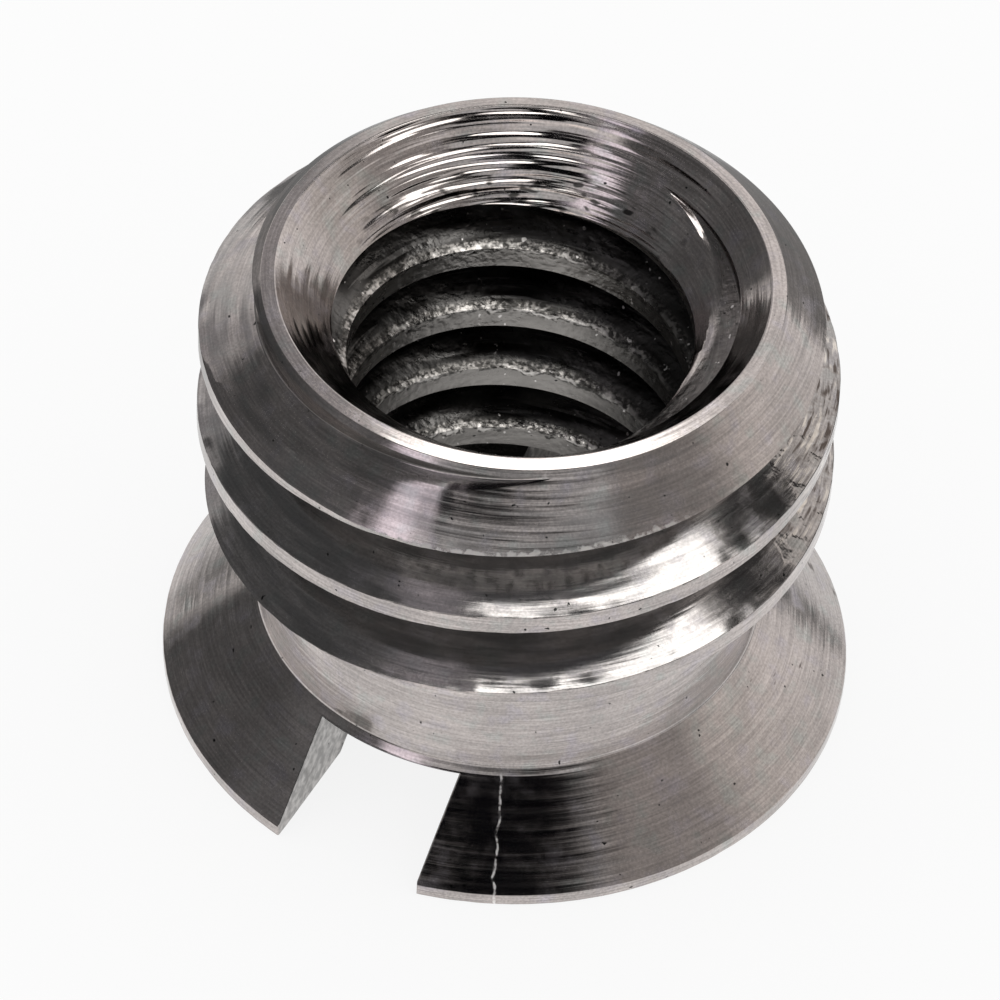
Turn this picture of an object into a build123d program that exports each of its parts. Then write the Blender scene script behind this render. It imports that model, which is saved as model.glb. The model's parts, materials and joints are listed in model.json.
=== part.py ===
from build123d import *
from build123d.topology import SkipClean

import os
from math import ceil, radians, tan

# Tripod reducer bushing, in millimetres. It stands on its flange, with its axis on Z and its slot along Y

# Turned outline, from the flange up
flange_radius = 5.17
flange_edge_height = 0.194  # the short upright edge of the flange
flange_cone_top = 1.505  # where the flange's cone meets the neck
neck_radius = 3.777
neck_fillet = 0.08
neck_top = 3.004  # where the 45 degree shoulder under the outer thread starts
height = 7.915
crown_chamfer_width = 0.893
crown_chamfer_height = 0.97
rim_width = 0.207  # the flat ring between the crown chamfer and the countersink

# Bore, with a 45 degree countersink at each end
bore_radius = 2.55  # crest radius of the inner thread
foot_mouth_radius = 3.3

# Screwdriver slot across the flanged end
slot_width = 2.3
slot_depth = 1.39

# Outer thread, 16 turns to the inch, and inner thread, 20 turns to the inch, both right-handed
outer_thread_radius = 4.72
outer_pitch = 1.5875
outer_crest_level = 5.835  # middle of one crest where it crosses the +X side
inner_pitch = 1.27
inner_crest_level = 5.378

# Thread form: flanks at 30 degrees, and flat crests whose width, like the depth, goes by the pitch
flank_angle = 30
outer_crest_share = 0.18
outer_depth_share = 0.5165
inner_crest_share = 0.283
inner_depth_share = 0.512
overcut_share = 0.2  # how far past the crests the groove cutters reach, as a share of their depth

# The blank is made of equal sectors, so each strip of thread crest stays a short cylinder face
sector_count = 18


def groove_turn(crest_radius, pitch, crest_level, crest_share, depth_share, low):
    """The solid that cuts the first turn of a helical thread groove, starting at the level low.
    A negative depth share puts the groove's floor outside its crests, for an inner thread."""
    depth = pitch * depth_share
    past_crest = -depth * overcut_share
    half_mouth = pitch * (1 - crest_share) / 2
    half_floor = half_mouth - abs(depth) * tan(radians(flank_angle))
    half_top = half_mouth + abs(past_crest) * tan(radians(flank_angle))
    with BuildPart() as cutter:
        with BuildLine() as path:
            Helix(pitch=pitch, height=pitch, radius=crest_radius, center=(0, 0, low))
        with BuildSketch(Plane(path.line @ 0, x_dir=(1, 0, 0), z_dir=path.line % 0)):
            with BuildLine():
                Polyline(
                    (-depth, half_floor),
                    (-past_crest, half_top),
                    (-past_crest, -half_top),
                    (-depth, -half_floor),
                    close=True,
                )
            make_face()
        sweep(path=path.line, is_frenet=True)
    # The groove runs half a pitch from the crest, so this turn brings the crest to its level
    start_turn = (low - crest_level) / pitch - 0.5
    return cutter.part.rotate(Axis.Z, 360 * start_turn)


crown_radius = outer_thread_radius - crown_chamfer_width
mouth_radius = crown_radius - rim_width

# One sector of the turned blank
with BuildPart() as sector:
    with BuildSketch(Plane.XZ) as outline:
        with BuildLine():
            Polyline(
                (foot_mouth_radius, 0),
                (flange_radius, 0),
                (flange_radius, flange_edge_height),
                (neck_radius, flange_cone_top),
                (neck_radius, neck_top),
                (outer_thread_radius, neck_top + outer_thread_radius - neck_radius),
                (outer_thread_radius, height - crown_chamfer_height),
                (crown_radius, height),
                (mouth_radius, height),
                (bore_radius, height - (mouth_radius - bore_radius)),
                (bore_radius, foot_mouth_radius - bore_radius),
                close=True,
            )
        make_face()
        fillet(outline.vertices().sort_by_distance((neck_radius, 0, flange_cone_top))[0], neck_fillet)
    revolve(axis=Axis.Z, revolution_arc=360 / sector_count)

# The outer groove starts in free air beside the neck, the inner one below the foot, and both leave at the top
outer_groove_low = (flange_cone_top + neck_top) / 2
inner_groove_low = -inner_pitch / 2
outer_turn = groove_turn(
    outer_thread_radius, outer_pitch, outer_crest_level, outer_crest_share, outer_depth_share,
    outer_groove_low,
)
inner_turn = groove_turn(
    bore_radius, inner_pitch, inner_crest_level, inner_crest_share, -inner_depth_share,
    inner_groove_low,
)

with SkipClean():
    with BuildPart() as bushing:
        with PolarLocations(0, sector_count):
            add(sector.part)
        for turn, pitch, low in (
            (outer_turn, outer_pitch, outer_groove_low),
            (inner_turn, inner_pitch, inner_groove_low),
        ):
            for number in range(ceil((height + pitch / 2 - low) / pitch)):
                with Locations((0, 0, number * pitch)):
                    add(turn, mode=Mode.SUBTRACT)
        with BuildSketch(Plane.XY):
            Rectangle(slot_width, 2 * flange_radius + slot_width)
        extrude(amount=slot_depth, mode=Mode.SUBTRACT)
bushing.part.label = "bushing"

os.makedirs("parts", exist_ok=True)
export_step(bushing.part, "parts/bushing.step")
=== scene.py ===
import json
from math import atan2, cos, pi, radians, sin, tan
from random import Random

import bpy
from mathutils import Matrix, Vector, noise


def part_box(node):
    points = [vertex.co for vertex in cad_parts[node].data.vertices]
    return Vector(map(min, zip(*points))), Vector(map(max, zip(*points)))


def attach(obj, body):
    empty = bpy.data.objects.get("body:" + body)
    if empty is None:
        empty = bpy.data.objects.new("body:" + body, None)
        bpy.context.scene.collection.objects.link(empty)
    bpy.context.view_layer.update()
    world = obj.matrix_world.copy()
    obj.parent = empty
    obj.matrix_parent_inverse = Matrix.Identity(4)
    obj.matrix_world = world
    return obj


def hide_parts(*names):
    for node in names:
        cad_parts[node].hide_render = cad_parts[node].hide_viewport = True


# Tripod reducer bushing, dressed for rendering. Shapes are modelled in millimetres and end up in metres
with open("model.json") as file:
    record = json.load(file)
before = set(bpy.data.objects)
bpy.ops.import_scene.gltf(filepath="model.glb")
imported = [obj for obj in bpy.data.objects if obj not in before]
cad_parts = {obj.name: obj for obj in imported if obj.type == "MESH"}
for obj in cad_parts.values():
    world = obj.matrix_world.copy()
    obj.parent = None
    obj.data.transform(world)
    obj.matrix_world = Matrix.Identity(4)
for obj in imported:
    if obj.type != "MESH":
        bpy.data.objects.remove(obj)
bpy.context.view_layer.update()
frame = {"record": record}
MM = 0.001

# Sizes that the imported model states
mounts = {mount["name"]: mount for mount in frame["record"]["mounts"]}
thread_radius = mounts["outer_thread"]["dims"]["r_mm"]
bore_radius = mounts["inner_thread"]["dims"]["r_mm"]
low_corner, high_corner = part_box("bushing")
flange_radius = (high_corner[0] - low_corner[0]) / 2 / MM
height = high_corner[2] / MM

# Turned outline, in millimetres
flange_edge_height = 0.194
flange_cone_top = 1.505
neck_radius = 3.777
neck_fillet = 0.08
neck_top = 3.004
crown_chamfer_width = 0.893
crown_chamfer_height = 0.97
rim_width = 0.207
foot_mouth_radius = 3.3
slot_width = 2.3
slot_depth = 1.39

# Threads, in millimetres: each crest level is where the middle of one crest crosses the +X side
outer_pitch = 1.5875
outer_crest_level = 5.835
outer_crest_width = 0.18 * outer_pitch
outer_thread_depth = 0.5165 * outer_pitch
inner_pitch = 1.27
inner_crest_level = 5.378
inner_crest_width = 0.283 * inner_pitch
inner_thread_depth = 0.512 * inner_pitch
flank_slope = tan(radians(30))

# The camera looks from this side, measured round the axis in the model's frame
camera_azimuth = radians(-64.5)
camera_elevation = radians(46.224)
camera_distance = 140.0
target_level = 3.5
camera_yaw = radians(-0.0746)
camera_pitch = radians(-0.0766)
camera_roll = radians(3.0145)
focal_pixels = 9415.85
picture_pixels = 1000.0

# How finely the round shapes are divided
steps_per_turn = 288


def deselect():
    bpy.ops.object.select_all(action="DESELECT")


def make_active(piece):
    deselect()
    piece.select_set(True)
    bpy.context.view_layer.objects.active = piece


def draw_chain(name, points):
    """A flat face with its outline through the points, drawn by extruding a vertex from point to point."""
    deselect()
    bpy.ops.mesh.primitive_plane_add(size=1, location=(0, 0, 0))
    chain = bpy.context.object
    chain.name = name
    bpy.ops.object.mode_set(mode="EDIT")
    bpy.ops.mesh.select_all(action="SELECT")
    bpy.ops.mesh.merge(type="CENTER")
    bpy.ops.transform.translate(value=points[0])
    for start, end in zip(points, points[1:]):
        step = Vector(end) - Vector(start)
        bpy.ops.mesh.extrude_vertices_move(TRANSFORM_OT_translate={"value": step})
    bpy.ops.object.mode_set(mode="OBJECT")
    for number, vertex in enumerate(chain.data.vertices):
        vertex.select = number in (0, len(points) - 1)
    bpy.ops.object.mode_set(mode="EDIT")
    bpy.ops.mesh.edge_face_add()
    bpy.ops.object.mode_set(mode="OBJECT")
    return chain


def face_outwards(piece):
    """Joins doubled points and turns every face outwards."""
    make_active(piece)
    bpy.ops.object.mode_set(mode="EDIT")
    bpy.ops.mesh.select_all(action="SELECT")
    bpy.ops.mesh.remove_doubles(threshold=0.0005)
    bpy.ops.mesh.normals_make_consistent(inside=False)
    bpy.ops.object.mode_set(mode="OBJECT")


def turned(name, outline):
    """A solid of revolution about Z from a closed outline of (radius, level) points."""
    piece = draw_chain(name, [(radius, 0, level) for radius, level in outline])
    bpy.ops.object.mode_set(mode="EDIT")
    bpy.ops.mesh.select_all(action="SELECT")
    bpy.ops.mesh.spin(steps=steps_per_turn, angle=2 * pi, center=(0, 0, 0), axis=(0, 0, 1))
    bpy.ops.object.mode_set(mode="OBJECT")
    face_outwards(piece)
    return piece


def helical(name, outline, pitch, start_angle, turns):
    """A solid swept along a right-handed helix from a closed outline of (radius, level) points."""
    piece = draw_chain(name, [(radius, 0, level) for radius, level in outline])
    piece.rotation_euler[2] = start_angle
    bpy.ops.object.transform_apply(location=True, rotation=True, scale=True)
    screw = piece.modifiers.new("thread", "SCREW")
    screw.axis = "Z"
    screw.angle = 2 * pi
    screw.screw_offset = pitch
    screw.iterations = turns
    screw.steps = steps_per_turn
    screw.render_steps = steps_per_turn
    bpy.ops.object.modifier_apply(modifier=screw.name)
    bpy.ops.object.mode_set(mode="EDIT")
    bpy.ops.mesh.select_all(action="SELECT")
    bpy.ops.mesh.fill_holes(sides=0)
    bpy.ops.object.mode_set(mode="OBJECT")
    face_outwards(piece)
    return piece


def cut_away(piece, cutter):
    """Takes the cutter's space out of the piece, and removes the cutter."""
    make_active(piece)
    cut = piece.modifiers.new("cut", "BOOLEAN")
    cut.operation = "DIFFERENCE"
    cut.solver = "EXACT"
    cut.object = cutter
    bpy.ops.object.modifier_apply(modifier=cut.name)
    bpy.data.objects.remove(cutter)


def round_outline(outline, corner, radius, segments):
    """The outline with one corner replaced by an arc of that radius."""
    number = outline.index(corner)
    here = Vector(corner)
    before = (Vector(outline[number - 1]) - here).normalized()
    after = (Vector(outline[(number + 1) % len(outline)]) - here).normalized()
    half = before.angle(after) / 2
    reach = radius / tan(half)
    centre = here + (before + after).normalized() * radius / sin(half)
    first = here + before * reach - centre
    last = here + after * reach - centre
    start = atan2(first.y, first.x)
    turn = (atan2(last.y, last.x) - start + pi) % (2 * pi) - pi
    arc = []
    for step in range(segments + 1):
        angle = start + turn * step / segments
        arc.append((centre.x + radius * cos(angle), centre.y + radius * sin(angle)))
    return outline[:number] + arc + outline[number + 1:]


# The turned outline, as (radius, level) corners from the foot up and back down the bore
rim_fall = 0.04  # the flat rim leans outwards a little
crown_low = height - crown_chamfer_height
crown_radius = thread_radius - crown_chamfer_width
mouth_radius = crown_radius - rim_width
outline = [
    (foot_mouth_radius, 0),
    (flange_radius, 0),
    (flange_radius, flange_edge_height),
    (neck_radius, flange_cone_top),
    (neck_radius, neck_top),
    (thread_radius, neck_top + thread_radius - neck_radius),
    (thread_radius, crown_low),
    (crown_radius, height - rim_fall),
    (mouth_radius, height),
    (bore_radius, height - (mouth_radius - bore_radius)),
    (bore_radius, foot_mouth_radius - bore_radius),
]
edge_rounding = 0.03
neck_corner = (neck_radius, flange_cone_top)
sharp_corners = ((thread_radius, crown_low), (neck_radius, neck_top))
for corner in list(outline):
    if corner == neck_corner:
        outline = round_outline(outline, corner, neck_fillet, 4)
    elif corner in sharp_corners:
        continue
    elif corner[0] > bore_radius:
        outline = round_outline(outline, corner, edge_rounding, 3)

# Uneven tool rings in the countersink, from under the rim to just above the bore
first_ring = 0.1
last_gap = 0.06
marks = Random(4)
tool_rings = []
reach = first_ring
while reach < mouth_radius - bore_radius - last_gap:
    depth = marks.uniform(0.001, 0.004)
    tool_rings.append((mouth_radius - reach + depth, height - reach - depth))
    reach += marks.uniform(0.03, 0.05)
    tool_rings.append((mouth_radius - reach, height - reach))
    reach += marks.uniform(0.03, 0.06)
past_rim = mouth_radius - first_ring / 2
bore_top = next(number for number, corner in enumerate(outline)
                if corner[0] < past_rim and corner[1] > height / 2)
outline = outline[:bore_top] + tool_rings + outline[bore_top:]
bushing = turned("bushing_body", outline)


def groove(name, crest_radius, depth, pitch, crest_width, crest_level, low, high, lip=0.0):
    """The helical cutter of one thread groove. A negative depth cuts outwards, for an inner thread. With a
    lip, the flank under the groove flattens over that width before it meets the crest."""
    half_mouth = (pitch - crest_width) / 2
    half_floor = half_mouth - abs(depth) * flank_slope
    overcut = abs(depth) / 5
    outwards = 1 if depth > 0 else -1
    upper = [
        (crest_radius - depth, half_floor),
        (crest_radius + outwards * overcut, half_mouth + overcut * flank_slope),
    ]
    lower = [
        (crest_radius + outwards * overcut, -half_mouth - overcut * flank_slope),
        (crest_radius - depth, -half_floor),
    ]
    section = upper + lower
    floor_rounding = 0.05
    for floor_corner in (upper[0], lower[1]):
        section = round_outline(section, floor_corner, floor_rounding, 3)
    if lip:
        # The points of the bend, each a reach inwards and a rise in shares of the lip
        place = section.index(lower[0])
        bend = (
            (0.0, 0.0), (0.03, 0.055), (0.25, 0.168), (0.5, 0.299), (0.75, 0.436), (1.0, flank_slope),
        )
        bent = [(crest_radius - inwards * lip, -half_mouth + rise * lip) for inwards, rise in bend]
        section = section[:place + 1] + bent + section[place + 1:]
    turn = (low - crest_level) / pitch - 0.5
    turns = int((high - low) / pitch) + 1
    # The start angle is a whole number of steps, so the cutter's rows meet the body's
    steps = round(turn * steps_per_turn)
    start_level = low + (steps / steps_per_turn - turn) * pitch
    section = [(radius, start_level + rise) for radius, rise in section]
    return helical(name, section, pitch, steps * 2 * pi / steps_per_turn, turns)


outer_groove = groove(
    "outer_groove", thread_radius, outer_thread_depth, outer_pitch, outer_crest_width,
    outer_crest_level, (flange_cone_top + neck_top) / 2, height + outer_pitch / 2, lip=0.3,
)
inner_groove = groove(
    "inner_groove", bore_radius, -inner_thread_depth, inner_pitch, inner_crest_width,
    inner_crest_level, -inner_pitch / 2, height + inner_pitch / 2,
)
cut_away(bushing, outer_groove)
cut_away(bushing, inner_groove)

# Screwdriver slot, along Y, with its corners worn round where it leaves the flange
corner_wear = 0.16
straight_end = 4.6
worn_start = 4.95
past_flange = 0.4
half_line = [(slot_width / 2, straight_end)]
for step in range(1, 7):
    angle = radians(15 * step)
    across = slot_width / 2 + corner_wear * (1 - cos(angle))
    half_line.append((across, worn_start + corner_wear * sin(angle)))
half_line.append((slot_width / 2 + corner_wear, flange_radius + past_flange))
slot_line = half_line + [(-across, along) for across, along in reversed(half_line)]
slot_line += [(-across, -along) for across, along in half_line]
slot_line += [(across, -along) for across, along in reversed(half_line)]
slot_corners = [(across, along, -slot_depth) for across, along in slot_line]
slot_cutter = draw_chain("slot_cutter", slot_corners)
make_active(slot_cutter)
bpy.ops.object.mode_set(mode="EDIT")
bpy.ops.mesh.select_all(action="SELECT")
bpy.ops.mesh.extrude_region_move(TRANSFORM_OT_translate={"value": (0, 0, 2 * slot_depth)})
bpy.ops.mesh.select_all(action="SELECT")
bpy.ops.mesh.fill_holes(sides=0)
bpy.ops.object.mode_set(mode="OBJECT")
face_outwards(slot_cutter)
cut_away(bushing, slot_cutter)

face_outwards(bushing)

# The crests and the flange's rim are not quite true: the tool left them ragged by up to a hundredth or so
crest_waver = 0.012
crest_wear = 0.0014
rim_wear = 0.0015
crest_inside = thread_radius - 0.1
crests_low = neck_top + 0.4
crests_high = crown_low + 0.02
rim_inside = flange_radius - 0.06
coarse_scale, fine_scale, fine_share = 2.4, 6.0, 0.6
for vertex in bushing.data.vertices:
    reach = vertex.co.xy.length
    ragged = noise.noise(vertex.co * coarse_scale) + fine_share * noise.noise(vertex.co * fine_scale)
    if reach > crest_inside and crests_low < vertex.co.z < crests_high:
        vertex.co.z += crest_waver * ragged
        vertex.co.xy *= 1 - crest_wear * abs(ragged)
    elif reach > rim_inside:
        vertex.co.xy *= 1 - rim_wear * abs(ragged)

smooth_limit = radians(28)
bpy.ops.object.shade_smooth_by_angle(angle=smooth_limit)
# Large faces keep their own direction, and only the small ones beside them turn from one to the next
even_shading = bushing.modifiers.new("even_shading", "WEIGHTED_NORMAL")
even_shading.mode = "FACE_AREA"
even_shading.keep_sharp = True
bpy.ops.object.modifier_apply(modifier=even_shading.name)
bushing.scale = (MM, MM, MM)
bpy.ops.object.transform_apply(location=True, rotation=True, scale=True)
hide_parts("bushing")
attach(bushing, "root")


# Finish
class Wiring:
    """Adds nodes to one material or world and joins them."""

    def __init__(self, owner):
        owner.use_nodes = True
        self.material = owner
        self.tree = owner.node_tree
        self.shader = self.tree.nodes.get("Principled BSDF")

    def node(self, kind, inputs=(), **settings):
        made = self.tree.nodes.new(kind)
        for key, value in settings.items():
            setattr(made, key, value)
        for socket, value in dict(inputs).items():
            self.feed(made.inputs[socket], value)
        return made

    def feed(self, socket, value):
        if isinstance(value, bpy.types.NodeSocket):
            self.tree.links.new(value, socket)
        else:
            socket.default_value = value

    def math(self, operation, *values):
        return self.node("ShaderNodeMath", enumerate(values), operation=operation).outputs[0]

    def ramp(self, value, low, high, start=0.0, end=1.0):
        settings = {"Value": value, "From Min": low, "From Max": high, "To Min": start, "To Max": end}
        return self.node("ShaderNodeMapRange", settings).outputs[0]

    def blend(self, share, first, second):
        made = self.node("ShaderNodeMix", {0: share}, data_type="RGBA")
        self.feed(made.inputs[6], first)
        self.feed(made.inputs[7], second)
        return made.outputs[2]


def turned_steel():
    steel = Wiring(bpy.data.materials.new("turned_steel"))
    place = steel.node("ShaderNodeTexCoord").outputs["Object"]
    place = steel.node("ShaderNodeVectorMath", {0: place, "Scale": 1 / MM}, operation="SCALE").outputs[0]
    axes = steel.node("ShaderNodeSeparateXYZ", {0: place}).outputs
    x, y, z = axes[0], axes[1], axes[2]
    radius = steel.math("SQRT", steel.math("ADD", steel.math("MULTIPLY", x, x), steel.math("MULTIPLY", y, y)))
    turn = steel.math("DIVIDE", steel.math("ARCTAN2", y, x), 2 * pi)
    along_x = steel.math("DIVIDE", x, radius)
    along_y = steel.math("DIVIDE", y, radius)

    def rings(fineness, streak, detail):
        """Noise drawn out round the axis, as a lathe tool leaves it."""
        vector = steel.node("ShaderNodeCombineXYZ", {
            0: steel.math("MULTIPLY", along_x, streak),
            1: steel.math("MULTIPLY", along_y, streak),
            2: steel.math("MULTIPLY", radius, fineness),
        }).outputs[0]
        pattern = steel.node("ShaderNodeTexNoise", {"Scale": 1.0, "Detail": detail}, noise_dimensions="4D")
        steel.feed(pattern.inputs["Vector"], vector)
        steel.feed(pattern.inputs["W"], steel.math("MULTIPLY", z, fineness))
        return pattern.outputs[0]

    def grain(scale, detail):
        """Noise that runs the same way on every side."""
        settings = {"Vector": place, "Scale": scale, "Detail": detail}
        return steel.node("ShaderNodeTexNoise", settings).outputs[0]

    def over_crest(pitch, crest_level):
        """Height above the middle of the nearest thread crest, in millimetres."""
        turns = steel.math("DIVIDE", steel.math("SUBTRACT", z, crest_level), pitch)
        phase = steel.math("FRACT", steel.math("ADD", steel.math("SUBTRACT", turns, turn), 0.5))
        return steel.math("MULTIPLY", steel.math("SUBTRACT", phase, 0.5), pitch)

    def both(*shares):
        """The product of shares, which is high only where all of them are."""
        made = shares[0]
        for share in shares[1:]:
            made = steel.math("MULTIPLY", made, share)
        return made

    # Patterns that several marks share
    smudge = grain(0.8, 3.0)
    patch = grain(2.6, 3.0)
    crumbs = grain(8.0, 2.0)
    drift = rings(4.5, 3.0, 1.0)
    flecks = rings(8.5, 11.0, 1.0)

    # Where things are, from radii and levels in millimetres: 1 inside, 0 outside
    cone_level = steel.math("ADD", radius, height - mouth_radius)
    under_cone = steel.math("SUBTRACT", cone_level, z)
    in_bore = both(steel.ramp(under_cone, 0.03, 0.07), steel.ramp(radius, 3.32, 3.26))
    in_countersink = both(steel.ramp(under_cone, 0.05, 0.02),
                          steel.ramp(radius, mouth_radius + 0.02, mouth_radius), steel.ramp(z, 6.7, 6.75))
    inner_rise = over_crest(inner_pitch, inner_crest_level)
    outer_rise = over_crest(outer_pitch, outer_crest_level)
    wobble = steel.ramp(grain(4.0, 3.0), 0.3, 0.7, -0.09, 0.07)
    inner_edge = inner_crest_width / 2
    ragged_rise = steel.math("ADD", inner_rise, wobble)
    inner_crest = both(in_bore,
                       steel.ramp(steel.math("ABSOLUTE", inner_rise), inner_edge + 0.03, inner_edge - 0.01))
    inner_burr = both(in_bore, steel.ramp(ragged_rise, inner_edge - 0.08, inner_edge - 0.05),
                      steel.ramp(ragged_rise, inner_edge + 0.14, inner_edge + 0.06),
                      steel.ramp(radius, 2.7, 2.64))
    edge_gap = steel.math("ABSOLUTE", steel.math("SUBTRACT", ragged_rise, inner_edge))
    inner_edge_line = both(in_bore, steel.ramp(edge_gap, 0.04, 0.01), steel.ramp(radius, 2.64, 2.6),
                           steel.ramp(patch, 0.4, 0.55))
    on_thread = both(steel.ramp(radius, 3.85, 3.9), steel.ramp(z, 3.02, 3.06), steel.ramp(z, 6.95, 6.9))
    on_crest = both(on_thread, steel.ramp(radius, thread_radius - 0.015, thread_radius - 0.005))
    on_flank = steel.math("SUBTRACT", on_thread, on_crest)

    def towards(azimuth_x, azimuth_y):
        """1 on the side that this direction points to, falling to -1 on the opposite side."""
        return steel.math("ADD", steel.math("MULTIPLY", along_x, azimuth_x),
                         steel.math("MULTIPLY", along_y, azimuth_y))

    towards_back = towards(-cos(camera_azimuth), -sin(camera_azimuth))
    towards_right = towards(-sin(camera_azimuth), cos(camera_azimuth))
    # The lower edge of the uppermost crest, which runs out through the crown chamfer with a burr
    over_flank = steel.math("ADD", outer_rise, outer_crest_width / 2 + thread_radius * flank_slope)
    over_flank = steel.math("SUBTRACT", over_flank, steel.math("MULTIPLY", radius, flank_slope))
    burr_width = steel.ramp(crumbs, 0.35, 0.65, 0.02, 0.11)
    crown_burr = both(steel.ramp(steel.math("SUBTRACT", over_flank, burr_width), 0.02, -0.05),
                      steel.ramp(over_flank, -0.01, 0.0), steel.ramp(z, 6.5, 6.55),
                      steel.ramp(radius, 4.3, 4.35), steel.ramp(towards_back, -0.8, -0.9),
                      steel.ramp(crumbs, 0.36, 0.56, 0.15, 0.9))
    chatter = both(in_countersink, steel.ramp(towards_back, 0.35, 0.85))

    # Metal torn by the tool at the thread's right side
    torn_side = both(steel.ramp(towards_right, 0.84, 0.96), steel.ramp(z, 4.2, 4.6), steel.ramp(z, 7.3, 6.9),
                     steel.ramp(radius, 3.9, 4.0), steel.ramp(patch, 0.4, 0.52))
    torn_grain = rings(16.0, 9.0, 2.0)

    on_flange = both(steel.ramp(radius, neck_radius + 0.05, neck_radius + 0.1),
                     steel.ramp(z, flange_cone_top, flange_cone_top - 0.1))
    # One long scratch runs up the middle of the flange
    waver = steel.ramp(patch, 0.3, 0.7, 0.0, 0.018)
    reach = steel.math("ABSOLUTE", steel.math("SUBTRACT", towards_right, waver))
    scratches = both(on_flange, steel.ramp(towards_back, 0.1, 0.0),
                     steel.ramp(steel.math("MULTIPLY", reach, radius), 0.026, 0.008),
                     steel.ramp(crumbs, 0.4, 0.58, 0.12, 0.85))
    # Short dark nicks lie along the flange's right side
    nicks = both(on_flange, steel.ramp(towards_right, 0.75, 0.9), steel.ramp(flecks, 0.7, 0.76))
    in_slot = both(steel.ramp(steel.math("ABSOLUTE", x), slot_width / 2 + 0.02, slot_width / 2),
                   steel.ramp(z, slot_depth + 0.02, slot_depth), steel.ramp(radius, 3.1, 3.2))

    coarse = rings(9.0, 2.2, 1.0)
    fine = rings(34.0, 5.0, 1.0)

    # Colour: pale warm grey, with faint violet and green tints, painted shade in the flanks, and grime and
    # painted shade that make the bore black
    # The first colour is the black of the bore's grime and painted shade
    bore_black = (0.02, 0.019, 0.018, 1)
    tarnish = (0.07, 0.067, 0.063, 1)
    brown = (0.12, 0.1, 0.09, 1)
    colour = steel.blend(steel.ramp(smudge, 0.35, 0.65), (0.44, 0.405, 0.39, 1), (0.555, 0.505, 0.485, 1))
    colour = steel.blend(steel.ramp(patch, 0.55, 0.75, 0.0, 0.5), colour, (0.5, 0.47, 0.53, 1))
    colour = steel.blend(steel.ramp(patch, 0.45, 0.3, 0.0, 0.45), colour, (0.42, 0.46, 0.44, 1))
    # Painted shade darkens the thread flanks
    colour = steel.blend(steel.math("MULTIPLY", on_flank, 0.45), colour, (0.34, 0.34, 0.34, 1))
    colour = steel.blend(steel.ramp(coarse, 0.62, 0.75, 0.0, 0.3), colour, (0.3, 0.29, 0.29, 1))
    grime = steel.math("MAXIMUM", steel.ramp(drift, 0.4, 0.7),
                      steel.ramp(rings(13.0, 1.5, 1.0), 0.56, 0.68, 0.0, 1.3))
    streaks = both(steel.ramp(fine, 0.3, 0.7, 0.8, 1.12), steel.ramp(grain(24.0, 1.0), 0.3, 0.7, 0.86, 1.1))
    colour = steel.node("ShaderNodeVectorMath", {0: colour, "Scale": streaks}, operation="SCALE").outputs[0]
    on_chamfer = both(steel.ramp(z, crown_low, crown_low + 0.04),
                      steel.ramp(radius, crown_radius, crown_radius + 0.03))
    # Dark patches on the chamfer and flanks, everywhere but on the right side
    dark_patches_off_right = both(steel.math("MAXIMUM", on_chamfer, on_flank), steel.ramp(drift, 0.54, 0.4, 0.0, 0.45),
                  steel.ramp(towards_right, 0.75, 0.45))
    colour = steel.blend(dark_patches_off_right, colour, (0.2, 0.2, 0.2, 1))
    tears = both(chatter, steel.ramp(radius, 3.1, 2.85), steel.ramp(flecks, 0.58, 0.66))
    colour = steel.blend(tears, colour, tarnish)
    # Grime and painted shade in the bore, darkest furthest down
    bore_grime_and_shade = both(in_bore, steel.ramp(z, 7.2, 6.4, 0.4, 1.0))
    colour = steel.blend(bore_grime_and_shade, colour, steel.blend(grime, bore_black, (0.16, 0.155, 0.15, 1)))
    crest_shade = steel.blend(coarse, (0.2, 0.19, 0.18, 1), (0.42, 0.4, 0.38, 1))
    colour = steel.blend(inner_crest, colour, crest_shade)
    colour = steel.blend(crown_burr, colour, (0.72, 0.7, 0.68, 1))
    shaded = both(bore_grime_and_shade, steel.ramp(towards_right, 0.25, 0.8), 0.75)
    specks = both(steel.ramp(grain(17.0, 3.0), 0.47, 0.6), steel.ramp(patch, 0.4, 0.6, 0.35, 1.0))
    colour = steel.blend(inner_burr, colour, steel.blend(specks, tarnish, (0.5, 0.475, 0.45, 1)))
    colour = steel.blend(inner_edge_line, colour, (0.72, 0.69, 0.66, 1))
    colour = steel.blend(shaded, colour, bore_black)
    spots = grain(9.0, 1.0)
    stray = both(in_bore, steel.ramp(spots, 0.73, 0.76))
    colour = steel.blend(stray, colour, (0.75, 0.72, 0.7, 1))
    colour = steel.blend(both(torn_side, steel.ramp(torn_grain, 0.52, 0.6)), colour, brown)
    colour = steel.blend(both(torn_side, steel.ramp(torn_grain, 0.45, 0.38)), colour, (0.75, 0.7, 0.64, 1))
    colour = steel.blend(scratches, colour, (0.95, 0.92, 0.9, 1))
    colour = steel.blend(nicks, colour, brown)
    slot_grain = steel.ramp(crumbs, 0.4, 0.66)
    slot_shade = steel.blend(slot_grain, (0.27, 0.262, 0.255, 1), (0.5, 0.484, 0.47, 1))
    colour = steel.blend(in_slot, colour, slot_shade)
    pits = steel.ramp(spots, 0.235, 0.215)
    colour = steel.blend(pits, colour, (0.03, 0.03, 0.03, 1))
    steel.feed(steel.shader.inputs["Base Color"], colour)
    steel.shader.inputs["Metallic"].default_value = 1.0

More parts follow.
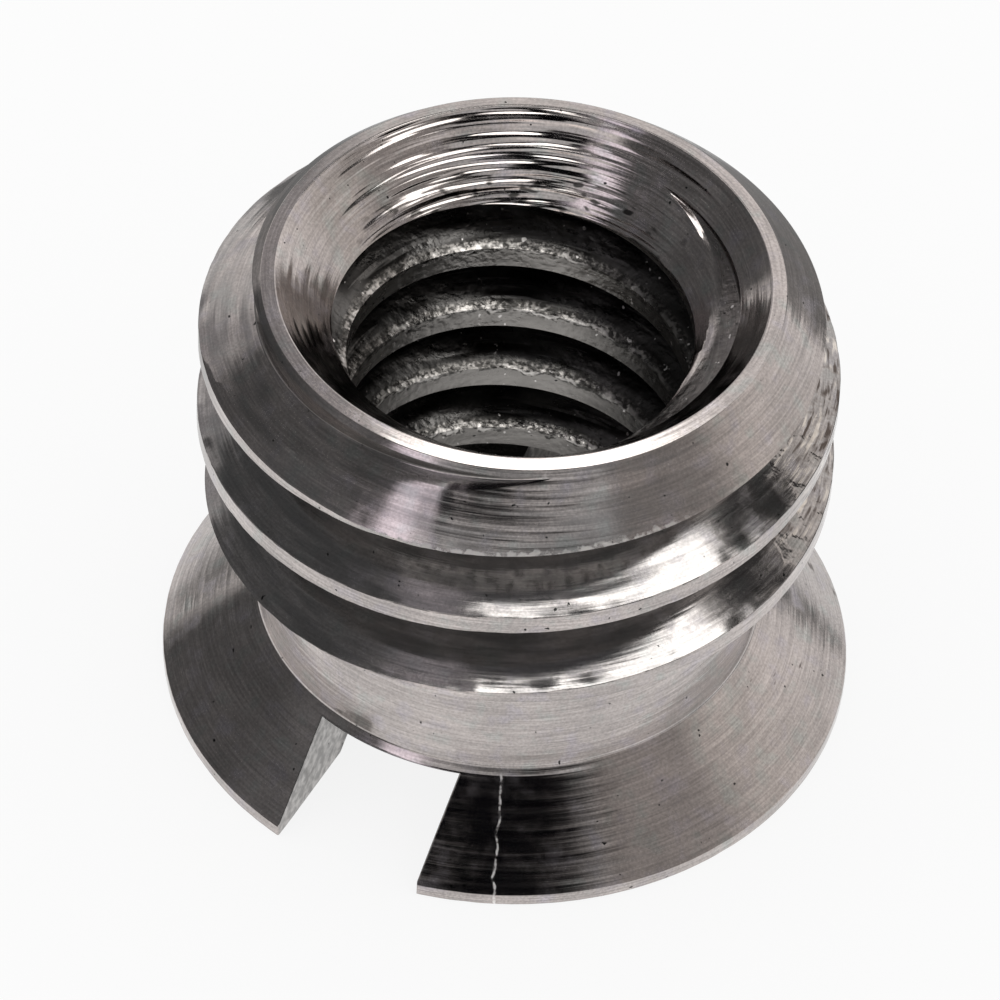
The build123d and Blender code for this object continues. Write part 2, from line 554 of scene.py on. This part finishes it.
    # The flange is smoothest beside the long scratch
    calm = both(on_flange, steel.ramp(towards_back, -0.85, -0.95))
    rough = steel.ramp(coarse, 0.3, 0.7, 0.09, 0.16)
    rough = steel.math("ADD", rough, steel.ramp(patch, 0.48, 0.7, 0.0, 0.1))
    rough = steel.math("MULTIPLY", rough, steel.ramp(calm, 0.0, 1.0, 1.0, 0.5))
    rough = steel.math("ADD", rough, steel.math("MULTIPLY", in_bore, 0.15))
    rough = steel.math("ADD", rough, steel.math("MULTIPLY", in_slot, 0.25))
    dull_marks = steel.math("MAXIMUM", crown_burr, scratches)
    rough = steel.math("ADD", rough, steel.math("MULTIPLY", dull_marks, 0.45))
    steel.feed(steel.shader.inputs["Roughness"], rough)

    # Relief, in hundredths of a millimetre
    relief = steel.math("ADD", steel.math("MULTIPLY", coarse, 0.3), steel.math("MULTIPLY", fine, 0.06))
    relief = steel.math("ADD", relief, both(chatter, rings(5.2, 0.9, 1.8), 15.0))
    torn = steel.math("MULTIPLY", crumbs, steel.math("ADD", steel.math("MULTIPLY", in_bore, 1.4), in_slot))
    relief = steel.math("ADD", relief, torn)
    relief = steel.math("ADD", relief, both(torn_side, torn_grain, 1.6))
    relief = steel.math("ADD", relief, steel.math("MULTIPLY", drift, 0.35))
    relief = steel.math("MULTIPLY", relief, steel.ramp(calm, 0.0, 1.0, 1.0, 0.3))
    bump = steel.node("ShaderNodeBump", {"Strength": 1.0, "Distance": 0.01 * MM, "Height": relief})
    steel.feed(steel.shader.inputs["Normal"], bump.outputs[0])
    return steel.material


bushing.data.materials.clear()
bushing.data.materials.append(turned_steel())


# Floor, lights and camera
def floor_material():
    floor = Wiring(bpy.data.materials.new("pale_floor"))
    matt = floor.node("ShaderNodeBsdfDiffuse")
    rays = floor.node("ShaderNodeLightPath").outputs
    seen = floor.math("MAXIMUM", rays["Is Camera Ray"], rays["Is Glossy Ray"])
    glow = floor.node("ShaderNodeEmission", {"Color": (1, 1, 1, 1), "Strength": 1.0}).outputs[0]
    # The floor is in shade under the back of the piece. Reflections find it darker far off and to the left
    place = floor.node("ShaderNodeTexCoord").outputs["Object"]
    reach = floor.node("ShaderNodeVectorMath", {0: place}, operation="LENGTH").outputs["Value"]
    turned_place = floor.node("ShaderNodeVectorRotate", {"Vector": place, "Angle": -camera_azimuth},
                              rotation_type="Z_AXIS").outputs[0]
    ahead, right = floor.node("ShaderNodeSeparateXYZ", {0: turned_place}).outputs[:2]
    behind = floor.math("MULTIPLY", floor.ramp(ahead, 0.8 * MM, -2.4 * MM),
                       floor.ramp(reach, 5.1 * MM, 4.9 * MM))
    far_left = floor.math("MULTIPLY", floor.ramp(ahead, -2 * MM, -6 * MM),
                         floor.ramp(right, -4 * MM, -8 * MM))
    far_left = floor.math("MULTIPLY", far_left, rays["Is Glossy Ray"])
    share = floor.math("MULTIPLY", seen, floor.ramp(behind, 0, 1, 0.85, 0.0))
    shade = floor.blend(behind, (0.85, 0.85, 0.85, 1), (0.34, 0.33, 0.32, 1))
    floor.feed(matt.inputs["Color"], shade)
    far_floor = floor.math("MULTIPLY", floor.ramp(reach, 11 * MM, 15 * MM), rays["Is Glossy Ray"])
    covered = floor.math("MAXIMUM", floor.math("MULTIPLY", far_left, 0.6),
                        floor.math("MULTIPLY", far_floor, 0.85))
    floor.feed(glow.node.inputs["Strength"], floor.math("SUBTRACT", 1.0, covered))
    mixed = floor.node("ShaderNodeMixShader", {0: share, 1: matt.outputs[0], 2: glow}).outputs[0]
    floor.feed(floor.tree.nodes["Material Output"].inputs["Surface"], mixed)
    return floor.material


floor_radius = 3  # in metres
deselect()
bpy.ops.mesh.primitive_circle_add(vertices=96, radius=floor_radius, fill_type="NGON", location=(0, 0, 0))
floor = bpy.context.object
floor.name = "floor"
floor.data.materials.append(floor_material())


def direction(azimuth, elevation):
    """The unit vector that points from the origin towards these angles."""
    return Vector((cos(azimuth) * cos(elevation), sin(azimuth) * cos(elevation), sin(elevation)))


def studio_light():
    """A white tent whose reflections show grey and black flags and one long overhead lamp. Sides are measured
    in degrees from the camera to the right. All other light is plain white."""
    world = bpy.data.worlds.new("studio")
    bpy.context.scene.world = world
    tent = Wiring(world)
    way = tent.node("ShaderNodeTexCoord").outputs["Generated"]

    # The direction's parts ahead, to the right and up, for someone who faces the camera
    turned_way = tent.node("ShaderNodeVectorRotate", {"Vector": way, "Angle": -camera_azimuth},
                           rotation_type="Z_AXIS").outputs[0]
    ahead, right, up = tent.node("ShaderNodeSeparateXYZ", {0: turned_way}).outputs
    turn = tent.math("DEGREES", tent.math("ARCTAN2", right, ahead))
    rise = tent.math("DEGREES", tent.math("ARCSINE", up))

    def flag(light, side, half_width, low, high, shade, soft):
        """Covers the tent over a range of sides and elevations."""
        aside = tent.math("ABSOLUTE", tent.math("WRAP", tent.math("SUBTRACT", turn, side), 180.0, -180.0))
        share = tent.math("MULTIPLY", tent.ramp(aside, half_width + soft, half_width - soft),
                         tent.math("MULTIPLY", tent.ramp(rise, low - soft, low + soft),
                                  tent.ramp(rise, high + soft, high - soft)))
        return tent.blend(share, light, (*shade, 1))

    def overhead(light, ahead_range, right_range, slant, shade, soft):
        """Covers a part of the tent's ceiling, in shares of its height. Its right edge leans by the slant."""
        forward, across = tent.math("DIVIDE", ahead, up), tent.math("DIVIDE", right, up)
        leaning = tent.math("SUBTRACT", across, tent.math("MULTIPLY", forward, slant))
        share = tent.ramp(up, 0.05, 0.1)
        for reach, edge, way_in in ((forward, ahead_range[0], 1), (forward, ahead_range[1], -1),
                                    (across, right_range[0], 1), (leaning, right_range[1], -1)):
            share = tent.math("MULTIPLY", share, tent.ramp(reach, edge - way_in * soft, edge + way_in * soft))
        return tent.blend(share, light, (*shade, 1))

    # Side, half width, lowest and highest edge, all in degrees, then the shade and the softness of the edges.
    # Each flag hangs in front of those above it, and the last one is a lamp
    flags = (
        (100, 30, 15, 60, (0.77, 0.73, 0.7), 10.0),
        (45, 36, 15, 64, (0.38, 0.36, 0.35), 8.0),
        (99, 13, 38, 63, (0.05, 0.05, 0.05), 2.0),
        (0, 180, 64, 95, (0.12, 0.12, 0.125), 3.0),
        (-85, 46, -5, 66, (0.115, 0.116, 0.118), 3.0),
        (-72, 16, 15, 40, (0.17, 0.171, 0.175), 6.0),
        (-58, 16, 62, 72, (0.48, 0.45, 0.48), 5.0),
        (-150, 18, 18, 66, (0.4, 0.39, 0.4), 3.0),
        (0, 38, 20, 42, (0.66, 0.665, 0.675), 3.0),
        (6, 42, 42, 66, (0.003, 0.003, 0.004), 1.5),
        (-41, 8, 24, 52, (1.4, 1.3, 1.43), 3.0),
    )
    light = (0.95, 0.93, 0.92, 1)
    for row in flags:
        light = flag(light, *row)
    light = overhead(light, (-0.52, 0.225), (-0.18, 0.6), 0.5, (3.4, 3.37, 3.3), 0.02)

    # Reflections find the flags by themselves, so the tent needs no light sampling of its own
    world.cycles.sampling_method = "NONE"
    background = tent.tree.nodes["Background"]
    tent.feed(background.inputs["Color"], light)
    plain = tent.node("ShaderNodeBackground", {"Color": (1, 1, 1, 1), "Strength": 1.0}).outputs[0]
    glossy = tent.node("ShaderNodeLightPath").outputs["Is Glossy Ray"]
    mixed = tent.node("ShaderNodeMixShader", {0: glossy, 1: plain, 2: background.outputs[0]}).outputs[0]
    tent.feed(tent.tree.nodes["World Output"].inputs["Surface"], mixed)


studio_light()

camera_data = bpy.data.cameras.new("camera")
camera = bpy.data.objects.new("camera", camera_data)
bpy.context.collection.objects.link(camera)
bpy.context.scene.camera = camera
camera_data.sensor_width = 36.0
camera_data.lens = focal_pixels / picture_pixels * camera_data.sensor_width
camera_data.clip_start = 0.001
camera_data.clip_end = 10.0
to_camera = direction(camera_azimuth, camera_elevation)
ahead = -to_camera
right = Vector((-sin(camera_azimuth), cos(camera_azimuth), 0))
up = right.cross(ahead)
gaze = (ahead * cos(camera_yaw) * cos(camera_pitch) + right * sin(camera_yaw) * cos(camera_pitch)
        + up * sin(camera_pitch)).normalized()
side = gaze.cross(up).normalized()
top = side.cross(gaze)
turned_side = side * cos(camera_roll) + top * sin(camera_roll)
turned_top = top * cos(camera_roll) - side * sin(camera_roll)
camera.matrix_world = Matrix((
    (turned_side.x, turned_top.x, -gaze.x, to_camera.x * camera_distance * MM),
    (turned_side.y, turned_top.y, -gaze.y, to_camera.y * camera_distance * MM),
    (turned_side.z, turned_top.z, -gaze.z, (to_camera.z * camera_distance + target_level) * MM),
    (0, 0, 0, 1),
))

bpy.context.scene.view_settings.view_transform = "Standard"
